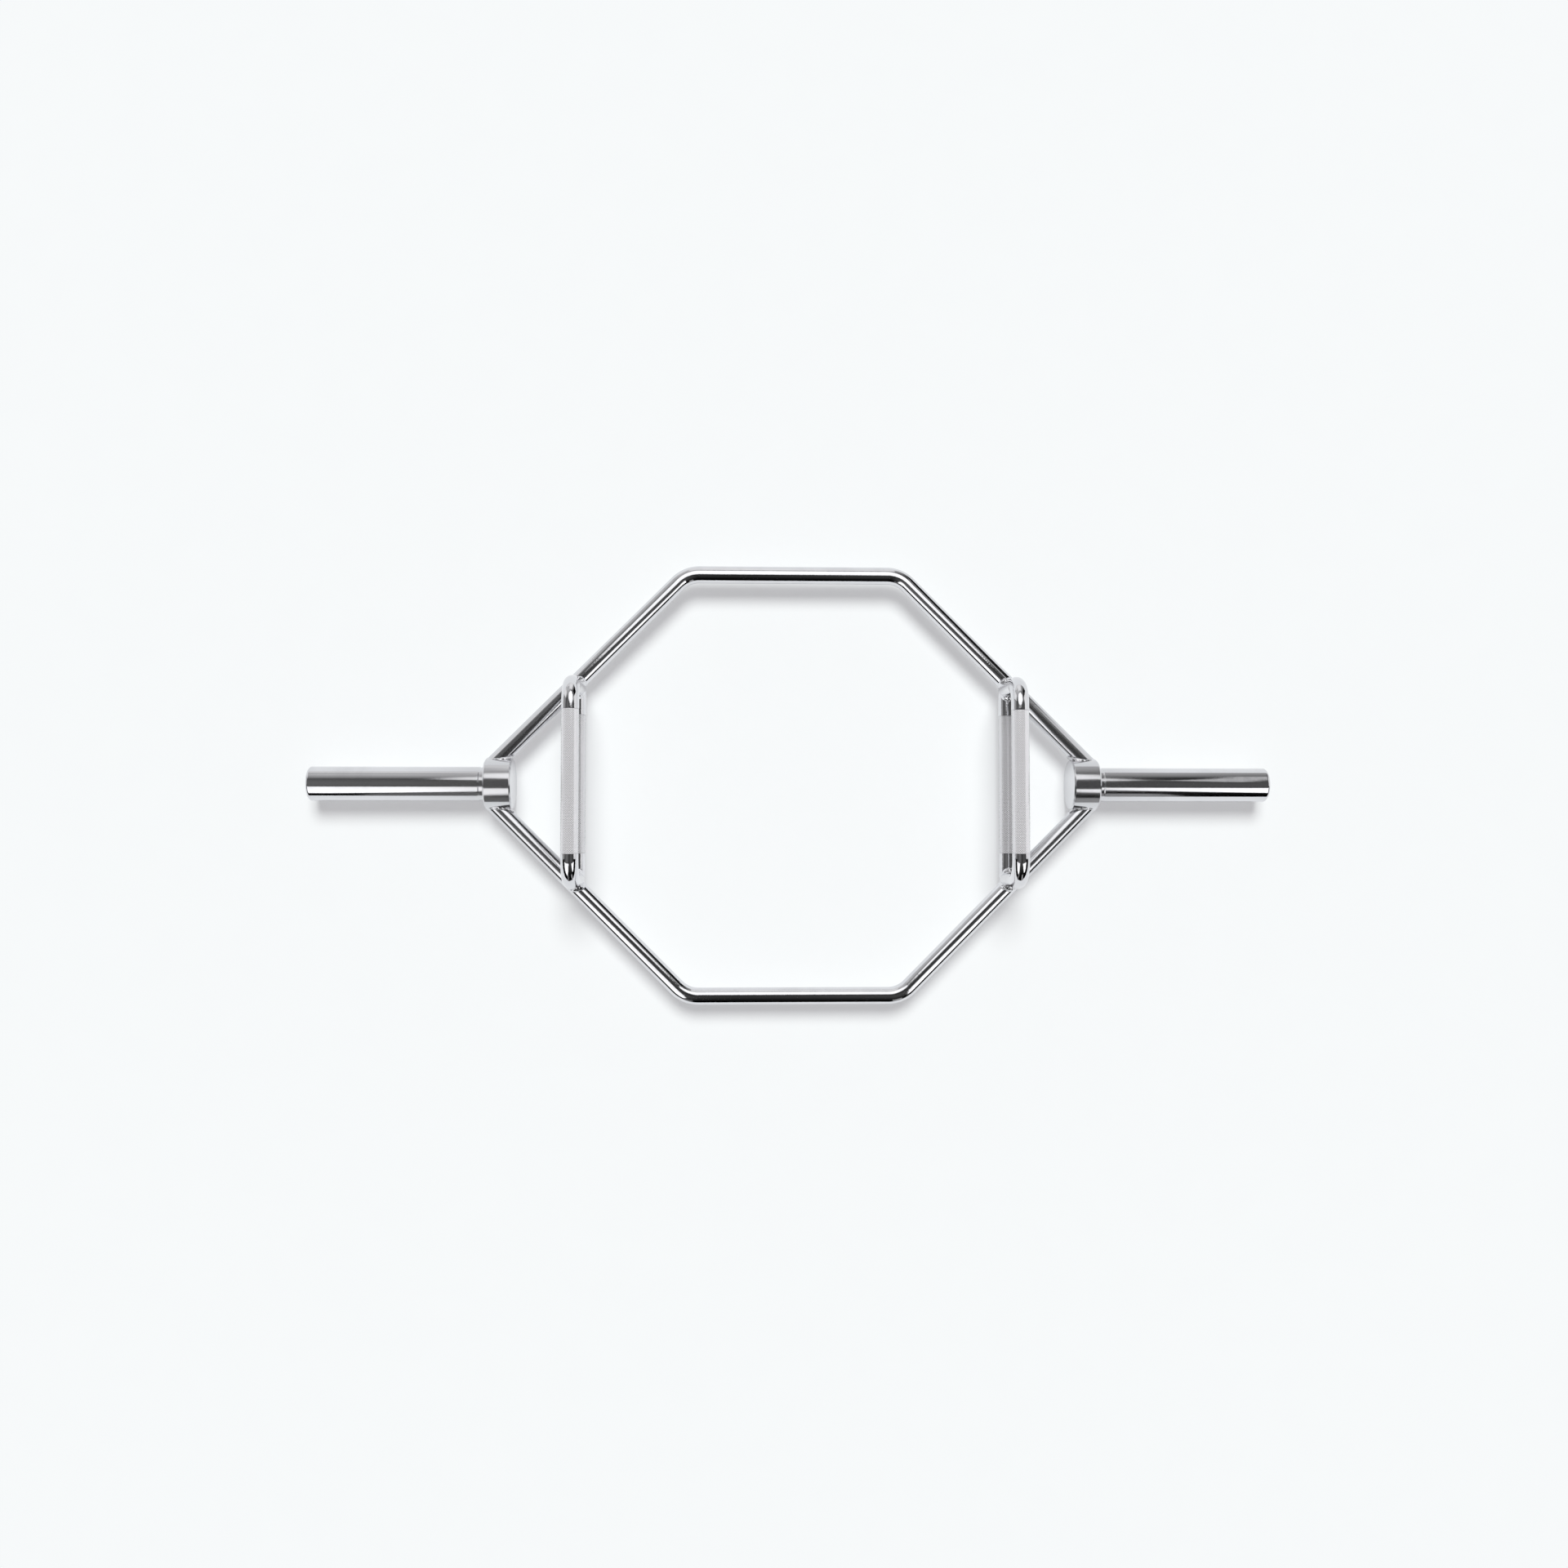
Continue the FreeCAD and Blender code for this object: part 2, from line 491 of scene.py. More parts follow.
@dataclass(frozen=True)
class PlatedWeld(ChromePlate):
    """Chrome plate over a weld bead that was brushed but not ground.

    The eye gets broken, liquid-looking highlights, because each frozen ripple of the bead is its own mirror.
    """

    clean_roughness: float = 0.06
    hazed_roughness: float = 0.16
    pool_mm: float = 2.4
    pool_depth_mm: float = 0.12

    def relief(self, tree: bpy.types.NodeTree, place: bpy.types.Node) -> bpy.types.NodeSocket:
        """Draw the small pools on the bead.

        Args:
            tree: The material's node tree.
            place: The texture coordinates.

        Returns:
            The normal that the pools give.
        """
        pools = 1.0 / (self.pool_mm * MM)
        return raised_noise(tree, place.outputs["Object"], pools, 1.0, self.pool_depth_mm)


def viewed_rays(tree: bpy.types.NodeTree) -> bpy.types.NodeSocket:
    """Mark the rays that show a surface to the eye, straight or in a mirror.

    Args:
        tree: The node tree that needs the mark.

    Returns:
        One for camera, glossy and transmission rays, and zero for the rays that only carry light.
    """
    ray = add_node(tree, "ShaderNodeLightPath")
    mirrored = add_node(tree, "ShaderNodeMath", {
        0: ray.outputs["Is Glossy Ray"],
        1: ray.outputs["Is Transmission Ray"],
    }, operation="MAXIMUM")
    return add_node(tree, "ShaderNodeMath", {
        0: ray.outputs["Is Camera Ray"],
        1: mirrored.outputs["Value"],
    }, operation="MAXIMUM").outputs["Value"]


@dataclass(frozen=True)
class BackdropPaper:
    """Matte white seamless paper, which shows only a soft shadow and the faintest mottling.

    Part of the white that the eye sees is the paper's own, so the shadow on it stays light.
    """

    name: str = "backdrop_paper_matte"
    shadow_share: float = 0.63
    own_white: str = "#F9F7FB"
    sheet: str = "#F7FCFB"
    mottle: str = "#F5FAF9"
    mottle_mm: float = 60.0

    def material(self) -> bpy.types.Material:
        """Build the paper.

        Returns:
            The finished material.
        """
        material = bare_material(self.name)
        tree = material.node_tree
        place = add_node(tree, "ShaderNodeTexCoord")
        fibres = add_node(tree, "ShaderNodeTexNoise", {
            "Vector": place.outputs["Object"],
            "Scale": 1.0 / (self.mottle_mm * MM),
            "Detail": 2.0,
        })
        tint = add_node(tree, "ShaderNodeMix", {
            MIX_SHARE: fibres.outputs["Fac"],
            COLOUR_FROM: linear(self.sheet),
            COLOUR_TO: linear(self.mottle),
        }, data_type="RGBA")
        lit = add_node(tree, "ShaderNodeBsdfDiffuse", {"Color": tint.outputs[COLOUR_OUT]})
        white = add_node(tree, "ShaderNodeEmission", {"Color": linear(self.own_white)})
        shown = add_node(tree, "ShaderNodeMixShader", {
            0: self.shadow_share,
            1: white.outputs["Emission"],
            2: lit.outputs["BSDF"],
        })
        paper = add_node(tree, "ShaderNodeMixShader", {
            0: viewed_rays(tree),
            1: lit.outputs["BSDF"],
            2: shown.outputs["Shader"],
        })
        add_node(tree, "ShaderNodeOutputMaterial", {"Surface": paper.outputs["Shader"]})
        material.cycles.emission_sampling = "NONE"
        return material


@dataclass(frozen=True)
class RoundBar:
    """A straight round bar that another piece lands on."""

    place: Vector
    axis: Vector
    radius: float
    reach: float = math.inf

    def outward(self, point: Vector) -> Vector:
        """Give the direction from this bar's axis to a point."""
        offset = point - self.place
        return (offset - self.axis * offset.dot(self.axis)).normalized()

    def settle(self, point: Vector, depth: float) -> Vector:
        """Lay a point on this bar.

        Args:
            point: A point near the bar.
            depth: How far under the surface it comes to lie.

        Returns:
            The point on the bar, kept between its ends.
        """
        along = (point - self.place).dot(self.axis)
        kept = max(-self.reach, min(self.reach, along))
        return self.place + self.axis * kept + self.outward(point) * (self.radius - depth)

    def distance_to(self, point: Vector, heading: Vector) -> float:
        """Measure how far a point travels before it meets this bar.

        Args:
            point: Where the travel starts.
            heading: Its unit direction.

        Returns:
            The distance to the first contact, or to the nearest pass of a bar that is missed.
        """
        offset = point - self.place
        offset -= self.axis * offset.dot(self.axis)
        cross = heading - self.axis * heading.dot(self.axis)
        lead = cross.dot(cross)
        middle = offset.dot(cross)
        inside = max(middle * middle - lead * (offset.dot(offset) - self.radius ** 2), 0.0)
        return (-middle - math.sqrt(inside)) / lead

    def misses(self, point: Vector, heading: Vector) -> bool:
        """Tell whether a point that travels along a heading passes this bar by."""
        normal = self.axis.cross(heading).normalized()
        return abs((point - self.place).dot(normal)) > self.radius


def first_bar(point: Vector, heading: Vector, bars: Sequence[RoundBar]) -> RoundBar:
    """Find which of several bars a travelling point meets first.

    Args:
        point: Where the travel starts.
        heading: Its unit direction.
        bars: The bars in its way.

    Returns:
        The first bar that is met, or the first that is passed where every bar is missed.
    """
    ahead = [bar for bar in bars if bar.distance_to(point, heading) > 0]
    hit = [bar for bar in ahead if not bar.misses(point, heading)]
    return min(hit or ahead, key=lambda bar: bar.distance_to(point, heading))


def first_contact(point: Vector, heading: Vector, bars: Sequence[RoundBar]) -> Vector:
    """Find where a travelling point first meets any of several bars.

    Args:
        point: Where the travel starts.
        heading: Its unit direction.
        bars: The bars in its way.

    Returns:
        The place of contact, or of the nearest pass where every bar is missed.
    """
    return point + heading * first_bar(point, heading, bars).distance_to(point, heading)


@dataclass(frozen=True)
class Station:
    """One place along a bent bar."""

    place: Vector
    heading: Vector
    along: float


def bent_path(corners: Sequence[Vector], radius: float, steps: int) -> list[Station]:
    """Lay out a bar's centreline, with a true arc at each inner corner.

    Args:
        corners: The two ends, and the corners where the straight runs would meet.
        radius: The bend radius of the centreline.
        steps: How many stations each bend gets.

    Returns:
        The stations from the first end to the last.
    """
    heading = (corners[1] - corners[0]).normalized()
    stations = [Station(corners[0], heading, 0.0)]
    for corner, beyond in zip(corners[1:-1], corners[2:]):
        turned = (beyond - corner).normalized()
        angle = heading.angle(turned)
        inward = (turned - heading * turned.dot(heading)).normalized()
        start = corner - heading * radius * math.tan(angle / 2)
        along = stations[-1].along + (start - stations[-1].place).length
        for step in range(steps + 1):
            turn = angle * step / steps
            place = start + heading * radius * math.sin(turn) + inward * radius * (1 - math.cos(turn))
            stations.append(Station(
                place, heading * math.cos(turn) + inward * math.sin(turn), along + radius * turn
            ))
        heading = turned
    last = stations[-1]
    stations.append(Station(corners[-1], heading, last.along + (corners[-1] - last.place).length))
    return stations


def circle(centre: Vector, heading: Vector, normal: Vector, radius: float, count: int) -> list[Vector]:
    """Place points on a circle across a bar.

    Args:
        centre: The circle's centre.
        heading: The bar's direction there.
        normal: The direction of the first point, square to the heading.
        radius: The circle's radius.
        count: How many points it gets.

    Returns:
        The points in order.
    """
    side = heading.cross(normal)
    turns = [math.tau * step / count for step in range(count)]
    return [centre + radius * (normal * math.cos(turn) + side * math.sin(turn)) for turn in turns]


class Corner(NamedTuple):
    """One corner of a turned piece's half section."""

    along: float
    radius: float
    rounding: float = 0.6 * MM


def rounded_profile(points: Sequence[Corner], steps: int) -> list[Vector]:
    """Break every edge of a turned piece's half section with its radius.

    A support point stands on each side of an edge, so that the long faces keep their own reflections.

    Args:
        points: The section's corners, from one end face to the other.
        steps: How many faces each edge gets.

    Returns:
        The half section as points of length and radius.
    """
    corners = [Vector((point.along, point.radius, 0.0)) for point in points]
    roundings = [point.rounding for point in points[1:-1]]
    profile = [corners[0]]
    for before, corner, after, rounding in zip(corners, corners[1:], corners[2:], roundings):
        heading = (corner - before).normalized()
        turned = (after - corner).normalized()
        angle = heading.angle(turned)
        inward = (turned - heading * turned.dot(heading)).normalized()
        room = min((corner - before).length, (after - corner).length) / FACE_PARTS
        trim = min(rounding * math.tan(angle / 2), room)
        radius = trim / math.tan(angle / 2)
        start = corner - heading * trim
        profile.append(start - heading * trim / 2)
        for step in range(steps + 1):
            turn = angle * step / steps
            profile.append(start + heading * radius * math.sin(turn) + inward * radius * (1 - math.cos(turn)))
        profile.append(profile[-1] + turned * trim / 2)
    profile.append(corners[-1])
    return profile


@dataclass
class Ring:
    """One closed row of a mesh's points."""

    verts: list[bmesh.types.BMVert]
    along: float
    girth: float


class PlatedMesh:
    """A mesh grown ring by ring, whose UVs hold metres along and around the piece."""

    def __init__(self) -> None:
        """Start an empty mesh."""
        self.shape = bmesh.new()
        self.uv = self.shape.loops.layers.uv.new("surface")
        self.crest = self.shape.verts.layers.float.new("crest")
        self.outward = self.shape.verts.layers.float_vector.new("outward")

    def ring(self, points: Sequence[Vector], along: float, crests: Sequence[float] = ()) -> Ring:
        """Add one ring of points.

        Args:
            points: The ring's points in order.
            along: The ring's length along the piece.
            crests: How far each point stands up on a knurl, if it does.

        Returns:
            The new ring.
        """
        verts = [self.shape.verts.new(point) for point in points]
        for vert, crest in zip(verts, crests):
            vert[self.crest] = crest
        girth = sum((points[place] - points[place - 1]).length for place in range(len(points)))
        return Ring(verts, along, girth)

    def face(self, corners: Sequence[tuple[Ring, int]], smooth: bool, coat: Coat) -> None:
        """Add one face between rings.

        Args:
            corners: Ring and running number of each corner.
            smooth: Whether the face is shaded round.
            coat: Which of the piece's materials it takes.
        """
        face = self.shape.faces.new([ring.verts[number % len(ring.verts)] for ring, number in corners])
        face.smooth = smooth
        face.material_index = coat
        for loop, (ring, number) in zip(face.loops, corners):
            loop[self.uv].uv = (ring.along, ring.girth * number / len(ring.verts))

    def skin(self, rings: Sequence[Ring], smooth: bool = True) -> None:
        """Join a run of rings of equal count.

        Args:
            rings: The rings in order.
            smooth: Whether the faces are shaded round.
        """
        for near, far in zip(rings, rings[1:]):
            for number in range(len(near.verts)):
                corners = ((near, number), (near, number + 1), (far, number + 1), (far, number))
                self.face(corners, smooth, Coat.MAIN)

    def piece(
        self, name: str, materials: Sequence[bpy.types.Material], slot: Slot, *nodes: str
    ) -> bpy.types.Object:
        """Turn the mesh into a piece of the bar.

        Args:
            name: The piece's name.
            materials: Its materials, in the order that its faces use.
            slot: The record's slot that its finish belongs to. It is not used.
            *nodes: The frame's nodes that it stands for.

        Returns:
            The finished piece.
        """
        bmesh.ops.recalc_face_normals(self.shape, faces=self.shape.faces[:])
        piece = stand_mesh(name, self.shape, materials)
        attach(piece, BODY)
        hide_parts(*nodes)
        return piece


@dataclass(frozen=True)
class BarLayout:
    """Where the bar's main lines run, in metres."""

    axis_height: float
    rod_radius: float
    frame_half_width: float
    hub_inner: float
    hub_outer: float
    hub_radius: float
    sleeve_end: float
    sleeve_radius: float
    handle_x: float
    handle_radius: float
    grip_height: float
    leg_y: float

    @classmethod
    def from_frame(cls) -> "BarLayout":
        """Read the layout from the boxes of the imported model's nodes.

        Returns:
            The bar's layout.
        """
        rod_low, rod_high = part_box("frame_rod_rear")
        hub_low, hub_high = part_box("hub_right")
        sleeve_low, sleeve_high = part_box("sleeve_right")
        handle_low, handle_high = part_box("low_handle_right")
        grip_low, grip_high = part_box("raised_handle_right")
        rod_radius = (rod_high.z - rod_low.z) / 2
        handle_radius = (handle_high.x - handle_low.x) / 2
        return cls(
            axis_height=(sleeve_low.z + sleeve_high.z) / 2,
            rod_radius=rod_radius,
            frame_half_width=rod_high.y - rod_radius,
            hub_inner=hub_low.x,
            hub_outer=hub_high.x,
            hub_radius=(hub_high.z - hub_low.z) / 2,
            sleeve_end=sleeve_high.x,
            sleeve_radius=(sleeve_high.z - sleeve_low.z) / 2,
            handle_x=(handle_low.x + handle_high.x) / 2,
            handle_radius=handle_radius,
            grip_height=grip_high.z - handle_radius,
            leg_y=grip_high.y - handle_radius,
        )

    @property
    def corner_sum(self) -> float:
        """Sum of |x| and |y| all along a diagonal, which meets its hub at mid width."""
        return (self.hub_inner + self.hub_outer) / 2 + self.hub_radius

    def diagonal_at_y(self, side: Side, y: float) -> Vector:
        """Give the point of a side's diagonal at a given y."""
        return Vector((side.value * (self.corner_sum - abs(y)), y, self.axis_height))

    def outward_along_diagonal(self, side: Side, end: End) -> Vector:
        """Give the direction of a diagonal towards its hub."""
        return Vector((side.value, -end.value, 0.0)).normalized()

    def hub_bar(self, side: Side, sunk: float = 0.0) -> RoundBar:
        """Give a hub as a bar to land on.

        Args:
            side: The hub's side of the bar.
            sunk: How much slimmer it is made, so that what lands on it sinks in.

        Returns:
            The hub as a round bar.
        """
        middle = side.value * (self.hub_inner + self.hub_outer) / 2
        reach = (self.hub_outer - self.hub_inner) / 2
        return RoundBar(Vector((middle, 0.0, self.axis_height)), SLEEVE_AXIS, self.hub_radius - sunk, reach)

    def diagonal_bar(self, side: Side, end: End, sunk: float = 0.0) -> RoundBar:
        """Give a diagonal as a bar to land on, made slimmer by a sunk depth."""
        place = self.diagonal_at_y(side, end.value * self.hub_radius)
        return RoundBar(place, self.outward_along_diagonal(side, end), self.rod_radius - sunk)

    def low_handle_bar(self, side: Side, sunk: float = 0.0) -> RoundBar:
        """Give a low handle as a bar to land on, made slimmer by a sunk depth."""
        place = Vector((side.value * self.handle_x, 0.0, self.axis_height))
        return RoundBar(place, HANDLE_AXIS, self.handle_radius - sunk)


@dataclass
class FrameRods:
    """The two bent rods that make the hexagon's front and rear."""

    layout: BarLayout
    finish: bpy.types.Material
    bend_radius: float = 45 * MM
    bend_steps: int = 28
    run_in: float = 45 * MM
    sunk: float = 0.3 * MM

    def build(self, end: End) -> bpy.types.Object:
        """Build one frame rod, coped to the hubs at both ends.

        Args:
            end: The rear or the front rod.

        Returns:
            The finished rod.
        """
        layout = self.layout
        y = end.value * layout.frame_half_width
        near_hub = end.value * (layout.hub_radius + self.run_in)
        stations = bent_path(
            [
                layout.diagonal_at_y(Side.LEFT, near_hub),
                layout.diagonal_at_y(Side.LEFT, y),
                layout.diagonal_at_y(Side.RIGHT, y),
                layout.diagonal_at_y(Side.RIGHT, near_hub),
            ],
            self.bend_radius,
            self.bend_steps,
        )
        mesh = PlatedMesh()
        loops = [circle(stop.place, stop.heading, UPRIGHT, layout.rod_radius, AROUND) for stop in stations]
        # Both hubs lie on one axis, so the right one serves to cope both ends.
        hub = (layout.hub_bar(Side.RIGHT, self.sunk),)
        first = [first_contact(point, -stations[0].heading, hub) for point in loops[0]]
        last = [first_contact(point, stations[-1].heading, hub) for point in loops[-1]]
        rings = [mesh.ring(first, -self.run_in)]
        rings += [mesh.ring(loop, stop.along) for loop, stop in zip(loops, stations)]
        rings.append(mesh.ring(last, stations[-1].along + self.run_in))
        mesh.skin(rings)
        node = f"frame_rod_{end.word}"
        return mesh.piece(f"{node}_bent", (self.finish,), Slot.POLISHED, node)


@dataclass
class TurnedEnds:
    """The hubs, and the sleeves that carry the plates, all turned on a lathe."""

    layout: BarLayout
    finish: bpy.types.Material
    neck_length: float = 7 * MM
    neck_drop: float = 0.75 * MM
    neck_taper: float = 1.6 * MM
    sleeve_chamfer: float = 3 * MM
    hub_chamfer: float = 2 * MM
    sleeve_rounding: float = 3.4 * MM
    edge_steps: int = 4
    centre_radius: float = 1.6 * MM
    centre_depth: float = 1.0 * MM
    tip_radius: float = 0.1 * MM

    def turn(self, profile: Sequence[Corner], side: Side) -> PlatedMesh:
        """Turn a half section about the sleeve axis.

        Args:
            profile: The section's corners, measured from the bar's middle.
            side: The side of the bar that the piece is on.

        Returns:
            The turned mesh.
        """
        mesh = PlatedMesh()
        rings: list[Ring] = []
        along = 0.0
        section = rounded_profile(profile, self.edge_steps)
        for before, point in zip([section[0], *section], section):
            along += (point - before).length
            centre = Vector((side.value * point.x, 0.0, self.layout.axis_height))
            rings.append(mesh.ring(circle(centre, SLEEVE_AXIS, UPRIGHT, point.y, AROUND), along))
        mesh.skin(rings)
        return mesh

    def build_sleeve(self, side: Side) -> bpy.types.Object:
        """Build one plate sleeve, with its slim neck at the hub and a rounded, centre-drilled end.

        Args:
            side: The sleeve's side of the bar.

        Returns:
            The finished sleeve.
        """
        layout = self.layout
        neck_radius = layout.sleeve_radius - self.neck_drop
        neck_end = layout.hub_outer + self.neck_length
        mesh = self.turn(
            [
                Corner(layout.hub_outer - self.neck_taper, neck_radius),
                Corner(neck_end, neck_radius),
                Corner(neck_end + self.neck_taper, layout.sleeve_radius),
                Corner(layout.sleeve_end - self.sleeve_chamfer, layout.sleeve_radius, self.sleeve_rounding),
                Corner(layout.sleeve_end, layout.sleeve_radius - self.sleeve_chamfer, self.sleeve_rounding),
                Corner(layout.sleeve_end, self.centre_radius),
                Corner(layout.sleeve_end - self.centre_depth, self.tip_radius),
            ],
            side,
        )
        node = f"sleeve_{side.word}"
        return mesh.piece(f"{node}_turned", (self.finish,), Slot.TURNED, node)

    def build_hub(self, side: Side) -> bpy.types.Object:
        """Build one hub, with broken rims and a faced inner end.

        Args:
            side: The hub's side of the bar.

        Returns:
            The finished hub.
        """
        layout = self.layout
        bore = layout.sleeve_radius - 2 * self.neck_drop
        mesh = self.turn(
            [
                Corner(layout.hub_inner, self.tip_radius),
                Corner(layout.hub_inner, layout.hub_radius - self.hub_chamfer),
                Corner(layout.hub_inner + self.hub_chamfer, layout.hub_radius),
                Corner(layout.hub_outer - self.hub_chamfer, layout.hub_radius),
                Corner(layout.hub_outer, layout.hub_radius - self.hub_chamfer),
                Corner(layout.hub_outer, bore),
            ],
            side,
        )
        node = f"hub_{side.word}"
        return mesh.piece(f"{node}_turned", (self.finish,), Slot.TURNED, node)


@dataclass(frozen=True)
class Knurling:
    """A band of rolled diamonds, eight inches long, as on a lifting bar's grip."""

    half_length: float = 101.5 * MM
    diamonds_round: int = 44
    helix: float = math.radians(30)
    depth: float = 0.36 * MM
    proud: float = 0.05 * MM
    core_drop: float = 0.8 * MM

    def wrap(self, mesh: PlatedMesh, middle: Vector, radius: float) -> None:
        """Wrap the band round a handle.

        Args:
            mesh: The handle's mesh.
            middle: The band's middle on the handle's axis.
            radius: The handle's radius.
        """
        columns = 2 * self.diamonds_round
        half_pitch = math.tau * radius / columns
        rows = 2 * round(self.half_length / (half_pitch / math.tan(self.helix)))
        rings = [self.rim(mesh, middle, radius, columns, -self.half_length)]
        for row in range(1, rows):
            along = self.half_length * (2 * row / rows - 1)
            crests = [float((row + column) % 2) for column in range(columns)]
            centre = middle + HANDLE_AXIS * along
            loop = circle(centre, HANDLE_AXIS, UPRIGHT, 1.0, columns)
            points = [
                centre + (point - centre) * (radius + self.proud - self.depth * (1.0 - crest))
                for point, crest in zip(loop, crests)
            ]
            rings.append(mesh.ring(points, along, crests))
            for vert in rings[-1].verts:
                vert[mesh.outward] = (vert.co - centre).normalized()
        rings.append(self.rim(mesh, middle, radius, columns, self.half_length))
        for row, (near, far) in enumerate(zip(rings, rings[1:])):
            for column in range(columns):
                self.facet(mesh, near, far, column, (row + column) % 2 == 0)

    def rim(self, mesh: PlatedMesh, middle: Vector, radius: float, columns: int, along: float) -> Ring:
        """Add the ring where the band runs out into the smooth bar.

        Args:
            mesh: The handle's mesh.
            middle: The band's middle on the handle's axis.
            radius: The handle's radius.
            columns: How many points the ring gets.
            along: Its distance from the middle.

        Returns:
            The new ring.
        """
        centre = middle + HANDLE_AXIS * along
        return mesh.ring(circle(centre, HANDLE_AXIS, UPRIGHT, radius - self.core_drop, columns), along)

    def facet(self, mesh: PlatedMesh, near: Ring, far: Ring, column: int, leaning: bool) -> None:
        """Add the two flat faces between four neighbouring points, split along the groove.

        Args:
            mesh: The handle's mesh.
            near: The first ring.
            far: The next ring.
            column: The running number of the first point.
            leaning: Whether the groove starts at the first point.
        """
        a, b, c, d = (near, column), (near, column + 1), (far, column + 1), (far, column)
        halves = ((a, b, c), (a, c, d)) if leaning else ((a, b, d), (b, c, d))
        for half in halves:
            mesh.face(half, False, Coat.GRIP)


@dataclass
class Handles:
    """The low handles that lie in the frame, and the raised handles that bridge over them."""

    layout: BarLayout
    smooth_finish: bpy.types.Material
    grip_finish: bpy.types.Material
    knurling: Knurling = Knurling()
    raised_bend_radius: float = 32 * MM
    bend_steps: int = 36
    run_out: float = 8 * MM
    sunk: float = 0.3 * MM

    def tube(self, mesh: PlatedMesh, stations: Sequence[Station], feet: Sequence[RoundBar]) -> None:
        """Add a handle's two smooth ends, from the shoulder beside the knurling to the coped foot.

        Args:
            mesh: The handle's mesh.
            stations: The handle's centreline.
            feet: The bars that its two feet land on.
        """
        radius = self.layout.handle_radius
        middle = stations[-1].along / 2
        grip = self.knurling.half_length
        before = [stop for stop in stations if stop.along < middle - grip]
        after = [stop for stop in stations if stop.along > middle + grip]
        centre = (before[-1].place + after[0].place) / 2
        before.append(Station(centre - HANDLE_AXIS * grip, HANDLE_AXIS, middle - grip))
        after.insert(0, Station(centre + HANDLE_AXIS * grip, HANDLE_AXIS, middle + grip))
        for run, outer, inner, heading in (
            (before, before[0], before[-1], -before[0].heading),
            (after, after[-1], after[0], after[-1].heading),
        ):
            rings = [mesh.ring(self.round_bar(stop, radius), stop.along) for stop in run]
            foot = [first_contact(point, heading, feet) for point in self.round_bar(outer, radius)]
            landed = mesh.ring(foot, outer.along + math.copysign(self.run_out, outer.along - inner.along))
            mesh.skin(rings)
            mesh.skin([landed, rings[0]] if outer is run[0] else [rings[-1], landed])
            shoulder = mesh.ring(self.round_bar(inner, radius), inner.along)
            under = mesh.ring(self.round_bar(inner, radius - self.knurling.core_drop), inner.along)
            mesh.skin([shoulder, under], False)

    def round_bar(self, stop: Station, radius: float) -> list[Vector]:
        """Give the points round a handle at one station."""
        return circle(stop.place, stop.heading, SLEEVE_AXIS, radius, AROUND)

    def dress(self, mesh: PlatedMesh, side: Side, grip_z: float, node: str) -> bpy.types.Object:
        """Wrap a handle's knurling and finish the piece.

        Args:
            mesh: The handle's mesh.
            side: The handle's side of the bar.
            grip_z: The height of its grip.
            node: The frame's node that it stands for.

        Returns:
            The finished handle.
        """
        middle = Vector((side.value * self.layout.handle_x, 0.0, grip_z))
        self.knurling.wrap(mesh, middle, self.layout.handle_radius)
        return mesh.piece(f"{node}_knurled", (self.smooth_finish, self.grip_finish), Slot.KNURLED, node)

    def build_low(self, side: Side) -> bpy.types.Object:
        """Build one low handle, coped to the diagonals.

        Args:
            side: The handle's side of the bar.

        Returns:
            The finished handle.
        """
        layout = self.layout
        reach = self.knurling.half_length + self.run_out
        x = side.value * layout.handle_x
        ends = [Vector((x, y, layout.axis_height)) for y in (-reach, reach)]
        feet = [layout.diagonal_bar(side, end, self.sunk) for end in End]
        mesh = PlatedMesh()
        stations = [Station(ends[0], HANDLE_AXIS, 0.0), Station(ends[1], HANDLE_AXIS, 2 * reach)]
        self.tube(mesh, stations, feet)
        return self.dress(mesh, side, layout.axis_height, f"low_handle_{side.word}")

    def build_raised(self, side: Side) -> bpy.types.Object:
        """Build one raised handle, bent down into two legs that stand on the frame.

        Args:
            side: The handle's side of the bar.

        Returns:
            The finished handle.
        """
        layout = self.layout
        x = side.value * layout.handle_x
        foot = layout.axis_height + layout.handle_radius + self.run_out
        corners = [
            Vector((x, -layout.leg_y, foot)),
            Vector((x, -layout.leg_y, layout.grip_height)),
            Vector((x, layout.leg_y, layout.grip_height)),
            Vector((x, layout.leg_y, foot)),
        ]
        feet = [layout.low_handle_bar(side, self.sunk)]
        feet += [layout.diagonal_bar(side, end, self.sunk) for end in End]
        mesh = PlatedMesh()
        self.tube(mesh, bent_path(corners, self.raised_bend_radius, self.bend_steps), feet)
        return self.dress(mesh, side, layout.grip_height, f"raised_handle_{side.word}")


@dataclass(frozen=True)
class Joint:
    """One bar's end that is welded to what it lands on."""

    node: str
    place: Vector
    heading: Vector
    leg: float
    carriers: tuple[RoundBar, ...]


